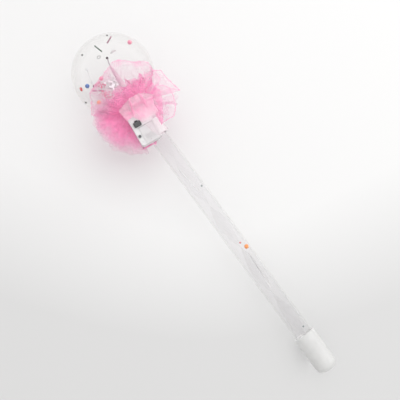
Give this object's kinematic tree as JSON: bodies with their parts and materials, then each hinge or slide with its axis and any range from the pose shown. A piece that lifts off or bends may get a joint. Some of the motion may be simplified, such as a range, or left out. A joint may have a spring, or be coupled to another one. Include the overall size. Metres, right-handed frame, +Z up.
{
  "type": "light-up globe wand",
  "caption": "Cheering wand with a clear bead-filled globe, a gathered pink tulle frill, a clip-on battery box with a slide switch, a clear tube stick and a rounded end cap.",
  "frame": {"origin": "on the table, under the middle of the box that the lying wand fills", "axes": "+Z up from the table; +X along the wand toward the globe, which lies a little higher than the cap; the battery box faces up"},
  "size_m": [0.439, 0.1024, 0.0959],
  "materials": {
    "clear_globe": "clear blown plastic, glossy",
    "clear_tube": "clear extruded plastic, glossy",
    "clear_film": "clear crinkled film",
    "frosted_plastic": "frosted plastic",
    "cap_plastic": "satin white plastic",
    "white_plastic": "moulded white plastic",
    "cover_plastic": "moulded pale grey plastic",
    "black_plastic": "moulded black plastic",
    "screw_steel": "plated steel",
    "cell_steel": "button cell steel",
    "contact_brass": "plated spring brass",
    "grey_wire": "thin insulated twin wire",
    "silver_wire": "bare silvery light wire",
    "led_dark": "small dark light in resin",
    "clear_drop": "clear resin drop",
    "bead_blue": "glossy bead",
    "bead_red": "glossy bead",
    "bead_pink": "glossy bead",
    "bead_orange": "glossy bead",
    "bead_dark": "glossy bead",
    "bead_pearl": "pearl seed bead",
    "rod_green": "glossy glass-like rod",
    "rod_mauve": "glossy glass-like rod",
    "foil": "thin bright foil",
    "tulle": "sheer pink net",
    "tie_elastic": "thin elastic"
  },
  "bodies": {
    "wand": {"globe": "clear_globe", "stem_plug": "frosted_plastic", "light_wire": "grey_wire", "stem_led": "led_dark", "string_wire": "silver_wire", "led_drops": "clear_drop", "bead_blue": "bead_blue", "bead_red": "bead_red", "beads_pink": "bead_pink", "bead_orange": "bead_orange", "rod_green": "rod_green", "rods_mauve": "rod_mauve", "bits_dark": "bead_dark", "seed_beads": "bead_pearl", "foil_flakes": "foil", "stick_tube": "clear_tube", "end_cap": "cap_plastic", "film_twist": "clear_film", "tube_bead_orange": "bead_orange", "tube_bead_red": "bead_red", "tube_bits_dark": "bead_dark", "battery_box": "white_plastic", "case_screw": "screw_steel", "top_cell": "cell_steel", "middle_cell": "cell_steel", "end_cell": "cell_steel", "negative_contact": "contact_brass", "positive_contact": "contact_brass", "switch_body": "black_plastic", "tulle_gather": "tulle", "gather_tie": "tie_elastic", "tulle_collar": "tulle", "tulle_frill": "tulle", "tulle_skirt": "tulle", "tulle_petal": "tulle", "tulle_loop": "tulle"},
    "cover": {"battery_cover": "cover_plastic"},
    "knob": {"switch_knob": "black_plastic"}
  },
  "joints": [
    {"name": "switch_slide", "type": "slide", "parent": "wand", "child": "knob", "axis": [0.9909, -0.1045, 0.0847], "range_m": [0, 0.003]},
    {"name": "cover_slide", "type": "slide", "parent": "wand", "child": "cover", "axis": [-0.9909, 0.1045, -0.0847], "range_m": [0, 0.017]}
  ]
}
